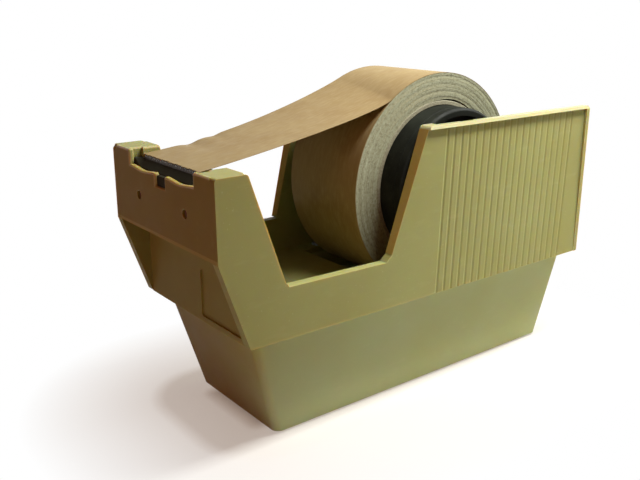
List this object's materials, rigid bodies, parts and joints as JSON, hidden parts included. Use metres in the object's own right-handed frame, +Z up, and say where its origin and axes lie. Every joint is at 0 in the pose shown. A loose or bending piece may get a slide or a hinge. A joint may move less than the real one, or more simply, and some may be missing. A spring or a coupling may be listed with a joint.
{
  "type": "tape dispenser",
  "caption": "Weighted counter tape dispenser in olive plastic: toothed cutting head, ribbed side panels and a lift-out hub with a wide roll of kraft tape",
  "frame": {"origin": "middle of the footprint, on the table under the rubber feet", "axes": "+X from the cutting head to the rear, +Y to the far side, +Z up"},
  "size_m": [0.234, 0.0938, 0.1565],
  "materials": {
    "shell_plastic": "satin moulded olive",
    "base_plastic": "satin moulded olive",
    "black_plastic": "matt moulded black",
    "nylon": "natural",
    "steel": "bright zinc",
    "blade_steel": "blackened",
    "rivet": "dark",
    "rubber": "matt",
    "ballast": "cast, rough",
    "tape": "kraft, slightly glossy",
    "core": "plain"
  },
  "bodies": {
    "housing": {"upper_shell": "shell_plastic", "base_tub": "base_plastic", "ballast_block": "ballast", "bottom_plate": "steel", "bottom_screws": "steel", "foot_front_near": "rubber", "foot_front_far": "rubber", "foot_rear_near": "rubber", "foot_rear_far": "rubber", "shell_screws": "steel", "blade_holder": "black_plastic", "cutter_blade": "blade_steel", "holder_rivets": "rivet"},
    "spindle": {"axle": "steel", "washer_near": "steel", "washer_far": "steel", "clip_near": "steel", "clip_far": "steel", "tape_strip": "tape"},
    "roll": {"hub_drum": "black_plastic", "hub_cap_near": "black_plastic", "hub_cap_far": "black_plastic", "bush_near": "nylon", "bush_far": "nylon", "tape_core": "core", "tape_roll": "tape"}
  },
  "joints": [
    {"name": "hub_lift", "type": "slide", "parent": "housing", "child": "spindle", "axis": [0, 0, 1], "range_m": [0, 0.09]},
    {"name": "roll_spin", "type": "hinge", "parent": "spindle", "child": "roll", "pos_m": [0.023, 0, 0.1025], "axis": [0, 1, 0], "continuous": true}
  ]
}
